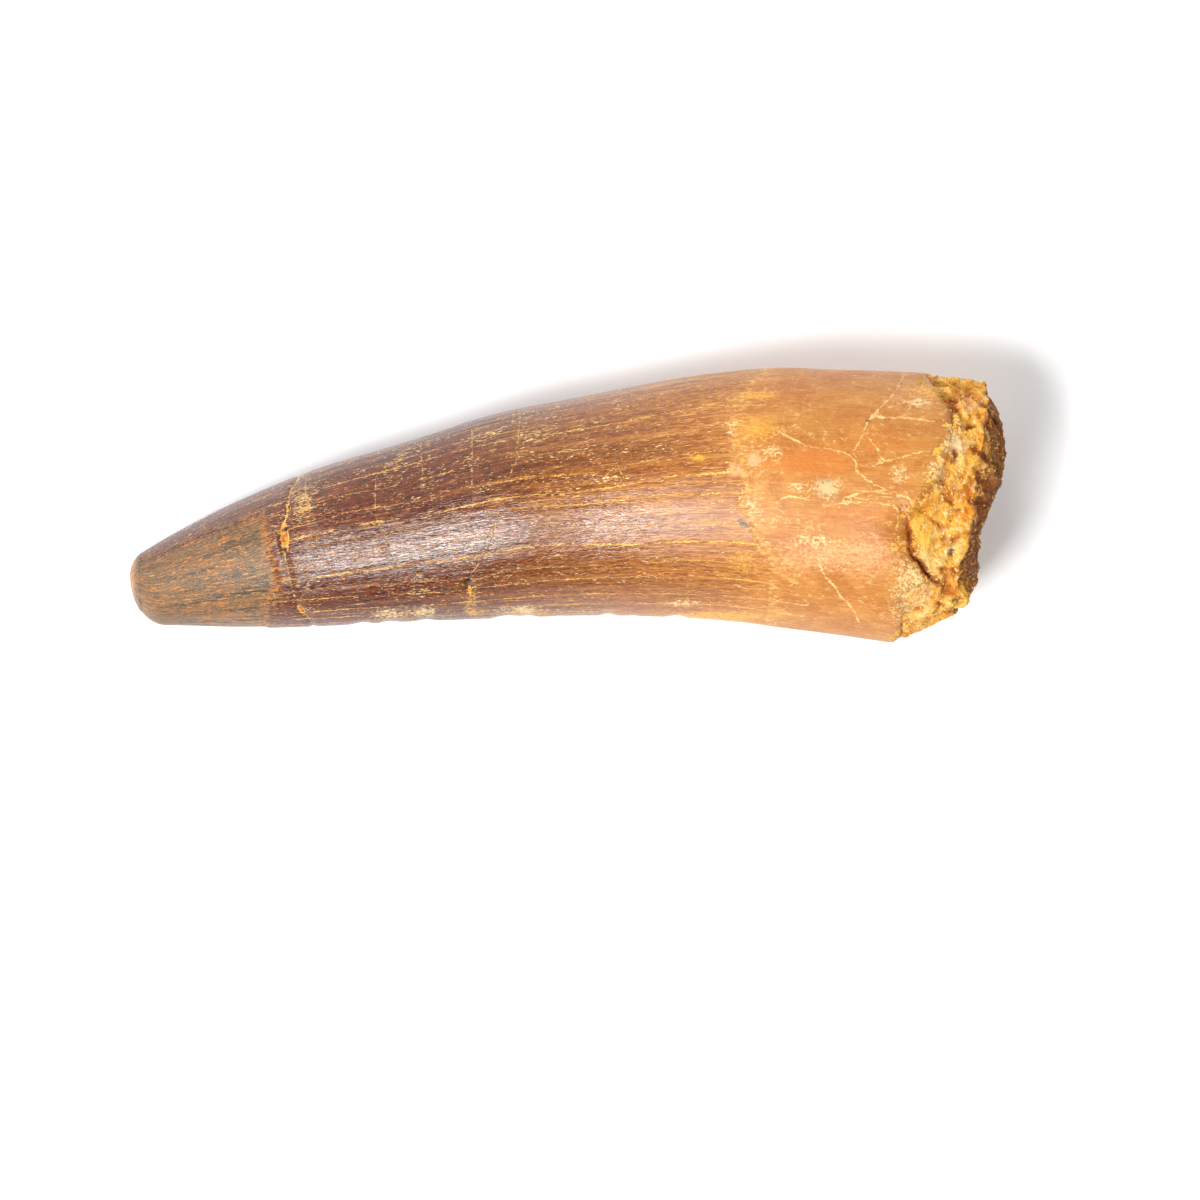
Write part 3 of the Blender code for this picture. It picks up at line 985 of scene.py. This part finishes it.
def line_mask(side, near, width, shown):
    """Where a drawn line shows: close to a slightly wandering middle, and where it isn't broken off."""
    off = work_out(tree, "ABSOLUTE", add_to(tree, side, ragged_edge, 0.7))
    bead = step(tree, breaks, 0.36, 0.66, 0.4, 1.9)
    core = step(tree, work_out(tree, "DIVIDE", off, overlap(tree, width, bead)), 0.4, 1.3, 1, 0)
    return overlap(tree, core, step(tree, near, 0.25, 0.45, 1, 0), shown)


# Growth lines of the crown and seams of the root
lane_shown = overlap(tree, step(tree, breaks, 0.42, 0.50), on_crown)
seam_shown = overlap(tree, root_mask, step(tree, stain_texture, 0.42, 0.58, 0.15, 0.9))
seam_mask = line_mask(seam_side, seam_near, seam_width, work_out(tree, "MAXIMUM", lane_shown, seam_shown))
seam_mask = overlap(tree, seam_mask, step(tree, tip_mask, 0, 1, 1, 0))
lane_colour = painted(tree, (0.80, 0.41, 0.075), ((amber_share, 10, 30, 1, (0.90, 0.52, 0.10)),))
root_seam = painted(tree, (0.76, 0.38, 0.065), ((root_spots, 0.40, 0.60, 1, (0.84, 0.56, 0.24)),))
seam_colour = blend(tree, root_mask, lane_colour, root_seam)
surface = blend(tree, overlap(tree, seam_mask, 0.9), surface, seam_colour)

# Cracks across the crown, and fine crackle where it is cloudy
main_crack_shown = step(tree, crack_width, 0.05, 0.07)
side_crack_shown = step(tree, breaks, 0.42, 0.54, 0.25, 0.9)
crack_shown = work_out(tree, "MAXIMUM", main_crack_shown, side_crack_shown)
crack_mask = line_mask(crack_side, crack_near, crack_width, crack_shown)
crack_fill = painted(tree, (0.26, 0.09, 0.02), ((ragged, 0.40, 0.5, 1, (0.74, 0.44, 0.14)),))
surface = blend(tree, crack_mask, surface, crack_fill)
crackle_size = wire(tree, "Mapping", {"Vector": object_place, "Scale": (1150, 1150, 1150)}).outputs[0]
crackle_bend = wire(tree, "TexNoise", {"Vector": object_place, "Scale": 1500.0}).outputs["Color"]
crackle_place = wire(tree, "VectorMath", {0: crackle_size, 1: crackle_bend}, operation="ADD").outputs[0]
crackle = wire(
    tree, "TexVoronoi", {"Vector": crackle_place, "Scale": 1.0}, feature="DISTANCE_TO_EDGE"
).outputs["Distance"]
crackle_mask = overlap(
    tree,
    step(tree, crackle, 0.02, 0.07, 1, 0),
    step(tree, cloudy, 0.7, 0.95),
    step(tree, breaks, 0.40, 0.55),
)
surface = blend(tree, crackle_mask, surface, (0.72, 0.44, 0.14))

# Pits with a pale rim, and holes painted near black: painted shade in their depth
pit_colour = painted(tree, (0.34, 0.085, 0.008), ((ragged, 0.40, 0.60, 1, (0.80, 0.36, 0.06)),))
pit_side = work_out(tree, "ADD", hollow, ragged_edge)
surface = painted(tree, surface, (
    (pit_side, 1.25, 1.0, 1, (0.80, 0.42, 0.10)),
    (pit_side, 1.0, 0.8, 1, pit_colour),
))
hole_shade_mask = step(tree, work_out(tree, "ADD", hole, ragged_edge), 1.1, 0.8)
surface = blend(tree, hole_shade_mask, surface, (0.020, 0.004, 0.0))

# Sandstone, with a painted highlight where it stands out
stone_with_highlight = painted(tree, stone.outputs["Colour"], ((relief, -0.10, -0.45, 0.6, (0.97, 0.66, 0.20)),))
surface = blend(tree, sand_mask, surface, stone_with_highlight)

# Stains, which break up into specks towards their edges
chalk = painted(tree, (0.82, 0.57, 0.26), (
    (cream, 0.7, 1.1, 1, (0.88, 0.69, 0.42)),
    (ragged, 0.50, 0.36, 0.6, (0.62, 0.36, 0.12)),
))
for amount, low, high, colour, strength in (
    (gold, 0.56, 0.80, (0.82, 0.42, 0.035), 0.75),
    (rust, 0.50, 0.86, (0.58, 0.165, 0.018), 0.8),
    (pink, 0.54, 0.84, (0.84, 0.42, 0.19), 0.75),
    (cream, 0.62, 0.67, chalk, 0.9),
    (grey, 0.62, 0.68, (0.60, 0.45, 0.21), 0.85),
    (dark, 0.69, 0.77, (0.10, 0.062, 0.030), 0.85),
):
    level = add_to(tree, stain_texture, amount, 0.26)
    shown = overlap(tree, step(tree, level, low, high), step(tree, amount, 0.0, 0.3), strength)
    surface = blend(tree, shown, surface, colour)

# Shade on the broken face, in the hollows of the stone and under the overhang
face_shade = painted(tree, (0.16, 0.09, 0.03), ((root_spots, 0.40, 0.60, 1, (0.40, 0.26, 0.12)),))
broken_side = work_out(tree, "ADD", broken, step(tree, crumbled, 0.40, 0.60, -0.10, 0.06))
broken_mask = overlap(tree, step(tree, broken_side, 0.0, 0.07), step(tree, broken, 0.0, 0.03))
surface = blend(tree, broken_mask, surface, face_shade, "MULTIPLY")
in_hollows = overlap(tree, step(tree, relief, 0.10, 0.55, 0, 0.75), sand_mask)
surface = blend(tree, in_hollows, surface, (0.42, 0.095, 0.003))
overhang_off = work_out(tree, "ABSOLUTE", add_to(tree, overhang_side, ragged_edge, 1.3))
overhang_mask = overlap(
    tree, step(tree, overhang_off, 0.12, 0.38, 1, 0), step(tree, overhang_near, 0.5, 0.9, 1, 0), 0.9
)
surface = blend(tree, overhang_mask, surface, (0.34, 0.075, 0.004))
tree.links.new(surface, shader.inputs["Base Color"])

# Gloss
gloss = between(tree, step(tree, along, 2, 16), CHESTNUT_ROUGHNESS, AMBER_ROUGHNESS)
gloss = between(tree, root_mask, gloss, ROOT_ROUGHNESS)
gloss = between(tree, tip_mask, gloss, TIP_ROUGHNESS)
gloss = add_to(tree, gloss, work_out(tree, "MAXIMUM", fleck_mask, hole_shade_mask), MATT_SPOTS)
gloss = between(tree, sand_mask, gloss, SANDSTONE_ROUGHNESS)
tree.links.new(gloss, shader.inputs["Roughness"])
shader.inputs["IOR"].default_value = ENAMEL_IOR
shader.inputs["Specular Tint"].default_value = WARM_SHINE

# Relief too fine for the mesh, in mm
on_enamel = step(tree, work_out(tree, "MAXIMUM", root_mask, tip_mask), 0, 1, 1, 0)
swell = grained(0.12, 0.9, (6, 1, 1), 1, 0.5)
height = overlap(tree, wrinkles, on_enamel, step(tree, along, 4, 18, 0.046, 0.026))
for pattern, amount in (
    (swell, 0.10),
    (seam_mask, -0.02),
    (crack_mask, -0.05),
    (overlap(tree, fleck_mask, on_enamel), 0.010),
    (overlap(tree, root_lines, root_mask), 0.030),
    (overlap(tree, root_spots, root_mask), 0.045),
    (overlap(tree, tip_specks, tip_mask), 0.050),
    (overlap(tree, tip_grit, tip_mask), 0.016),
    (overlap(tree, stone.outputs["Height"], sand_mask), 0.55),
):
    height = add_to(tree, height, pattern, amount)
bump = wire(tree, "Bump", {"Strength": 1.0, "Distance": MM, "Height": height})
tree.links.new(bump.outputs[0], shader.inputs["Normal"])

skin.materials.clear()
skin.materials.append(finish)
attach(tooth, "root")
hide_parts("tooth")


# Sand grains

# Quartz grains of the sandstone, still stuck to the crumbling ledge and in the broken face.
# One rounded grain is made, and copies of it are strewn there and sunk to about half their depth.

GRAINS = 3600
GRAIN_SIZES = (0.06 * MM, 0.18 * MM)
GRAIN_SHAPE = (1.0, 0.85, 0.7)
MOSTLY_SMALL = 2.2
SHARE_ON_FACE = 0.45
ABOVE_FLOOR = 0.15 * MM
QUARTZ_RELIEF = 0.3 * MM
QUARTZ_ROUGHNESS = 0.6

bpy.ops.object.select_all(action="DESELECT")
bpy.ops.mesh.primitive_ico_sphere_add(subdivisions=1, radius=1)
grain_maker = bpy.context.object
bpy.ops.object.mode_set(mode="EDIT")
bpy.ops.mesh.select_all(action="SELECT")
bpy.ops.transform.resize(value=GRAIN_SHAPE, center_override=(0, 0, 0))
bpy.ops.object.mode_set(mode="OBJECT")
corners = np.array([vertex.co[:] for vertex in grain_maker.data.vertices])
faces = np.array([face.vertices[:] for face in grain_maker.data.polygons])
bpy.data.objects.remove(grain_maker)

chance = np.random.default_rng(7)
all_corners, all_faces, tones_and_shades = [], [], []
while len(all_corners) < GRAINS:
    angle = chance.uniform(0, 2 * math.pi)
    on_face = chance.random() < SHARE_ON_FACE
    # Grains on the broken face get low tones, painted dark as shade like the face; ledge grains differ in
    # tone at random
    if on_face:
        middle, _ = face_point(angle, 1 - math.sqrt(chance.random()))
        shade = chance.uniform(0, 0.3)
    else:
        middle, _ = ledge_point(angle, chance.uniform(0.02, 1.0))
        shade = chance.uniform(0.3, 1)
        if math.sin(angle) > 0:
            middle.z -= overhang_drop(*side_of_line(Vector(middle[:2]) / MM, overhang))
    size = GRAIN_SIZES[0] + (GRAIN_SIZES[1] - GRAIN_SIZES[0]) * chance.random() ** MOSTLY_SMALL
    if middle.z < size + ABOVE_FLOOR:
        continue
    turn = Euler(chance.uniform(0, 2 * math.pi, 3)).to_matrix()
    all_faces.append(faces + len(all_corners) * len(corners))
    all_corners.append((corners * size) @ np.array(turn) + np.array(middle))
    tones_and_shades.append(np.full(len(corners), shade))

mesh = bpy.data.meshes.new("sand_grains")
mesh.from_pydata(np.concatenate(all_corners).tolist(), [], np.concatenate(all_faces).tolist())
mesh.attributes.new("tone_and_shade", "FLOAT", "POINT").data.foreach_set(
    "value", np.concatenate(tones_and_shades).astype(np.float32)
)
mesh.shade_smooth()
grains = bpy.data.objects.new("sand_grains", mesh)
bpy.context.scene.collection.objects.link(grains)

quartz = bpy.data.materials.new("sand_grains")
quartz.use_nodes = True
tree = quartz.node_tree
shader = tree.nodes["Principled BSDF"]
stone = wire(tree, "Group", node_tree=sandstone)
tree.links.new(wire(tree, "TexCoord").outputs["Object"], stone.inputs["Place"])
tone_and_shade = wire(tree, "Attribute", attribute_name="tone_and_shade").outputs["Fac"]
# High tones make paler grains; low tones, on the broken face, are painted shade
colour = painted(tree, stone.outputs["Colour"], (
    (tone_and_shade, 0.65, 1.0, 0.35, (0.92, 0.62, 0.18)),
    (tone_and_shade, 0.32, 0.12, 0.85, (0.30, 0.12, 0.02)),
))
tree.links.new(colour, shader.inputs["Base Color"])
bump = wire(tree, "Bump", {"Strength": 1.0, "Distance": QUARTZ_RELIEF, "Height": stone.outputs["Height"]})
tree.links.new(bump.outputs[0], shader.inputs["Normal"])
shader.inputs["Roughness"].default_value = QUARTZ_ROUGHNESS
mesh.materials.append(quartz)
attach(grains, "root")


# Floor

# A plain white table top, large enough to fill every view, and faintly lit from below.

FLOOR_SIZE = 6
PAPER_WHITE = {
    "Base Color": (0.83, 0.835, 0.845, 1),
    "Roughness": 0.9,
    "Specular IOR Level": 0.1,
    "Emission Strength": 0.2,
}

bpy.ops.object.select_all(action="DESELECT")
bpy.ops.mesh.primitive_plane_add(size=FLOOR_SIZE)
floor = bpy.context.object
floor.name = "floor"
paper = bpy.data.materials.new("white_floor")
paper.use_nodes = True
for name, value in PAPER_WHITE.items():
    paper.node_tree.nodes["Principled BSDF"].inputs[name].default_value = value
floor.data.materials.append(paper)


# Light

# White walls all round, darker straight overhead, and one soft box in front and to the left.

LAMP_PLACE = Vector((-0.30, -0.245, 0.69))
LAMP_WIDTH = 0.32
LAMP_DEPTH = 0.30
LAMP_POWER = 9.05

world = bpy.data.worlds.new("white_tent")
world.use_nodes = True
sky = world.node_tree
direction = wire(sky, "TexCoord").outputs["Generated"]
to_right, to_back, upwards = wire(sky, "SeparateXYZ", {"Vector": direction}).outputs
glow = overlap(
    sky,
    step(sky, upwards, 0.45, 0.90, 1.15, 0.25),
    step(sky, to_right, -0.8, 0.8, 1.25, 0.7),
    step(sky, to_back, -0.9, 0.5, 0.3, 1.25),
)
sky.links.new(glow, sky.nodes["Background"].inputs["Strength"])
sky.nodes["Background"].inputs["Color"].default_value = (1, 1, 1, 1)
bpy.context.scene.world = world

lamp = bpy.data.lights.new("soft_box", "AREA")
lamp.shape = "RECTANGLE"
lamp.size = LAMP_WIDTH
lamp.size_y = LAMP_DEPTH
lamp.energy = LAMP_POWER
soft_box = bpy.data.objects.new("soft_box", lamp)
soft_box.location = LAMP_PLACE
soft_box.rotation_euler = (-LAMP_PLACE).to_track_quat("-Z", "Y").to_euler()
bpy.context.scene.collection.objects.link(soft_box)

bpy.context.scene.view_settings.view_transform = "Standard"
